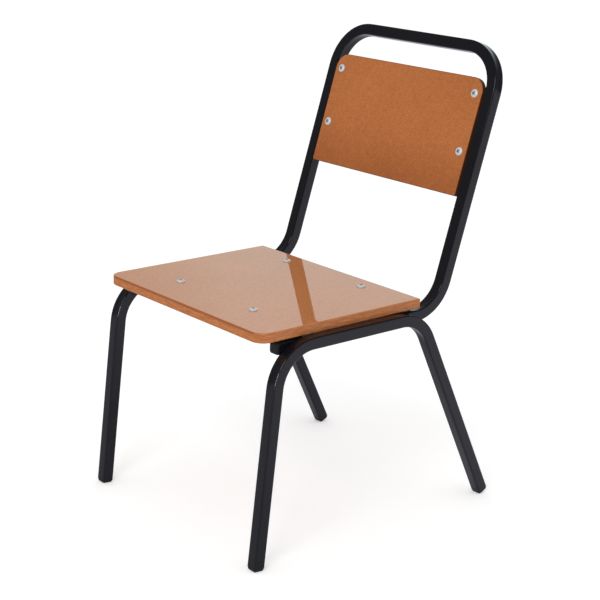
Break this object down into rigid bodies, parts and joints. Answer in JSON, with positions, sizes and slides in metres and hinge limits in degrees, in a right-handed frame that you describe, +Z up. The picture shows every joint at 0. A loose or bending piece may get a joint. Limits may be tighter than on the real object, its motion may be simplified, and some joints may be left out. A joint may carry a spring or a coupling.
{
  "type": "school chair",
  "caption": "Stacking school chair: bent square-tube frame with splayed leg loops, flat board seat and a thin reclined back panel, screwed on.",
  "frame": {"origin": "on the floor, midway through the chair's overall width and depth", "axes": "+Z up; the chair faces -Y; +X is the sitter's left"},
  "size_m": [0.445, 0.5359, 0.7791],
  "materials": {
    "black_enamel": "gloss",
    "seat_lacquer": "high gloss lacquer",
    "back_lacquer": "satin gloss lacquer",
    "zinc_plate": "bright zinc plate",
    "black_plastic": "satin"
  },
  "bodies": {
    "root": {"back_frame_tube": "black_enamel", "left_leg_loop": "black_enamel", "right_leg_loop": "black_enamel", "front_seat_strap": "black_enamel", "rear_seat_strap": "black_enamel", "upper_left_back_tab": "black_enamel", "upper_right_back_tab": "black_enamel", "lower_left_back_tab": "black_enamel", "lower_right_back_tab": "black_enamel", "rail_welds": "black_enamel", "strap_welds": "black_enamel", "tab_welds": "black_enamel", "seat_board": "seat_lacquer", "back_panel": "back_lacquer", "seat_screws": "zinc_plate", "back_screws": "zinc_plate", "seat_washers": "zinc_plate", "back_washers": "zinc_plate", "seat_nuts": "zinc_plate", "back_nuts": "zinc_plate", "front_left_foot_plug": "black_plastic", "front_right_foot_plug": "black_plastic", "rear_left_foot_plug": "black_plastic", "rear_right_foot_plug": "black_plastic", "left_rail_plug": "black_plastic", "right_rail_plug": "black_plastic"}
  },
  "joints": []
}
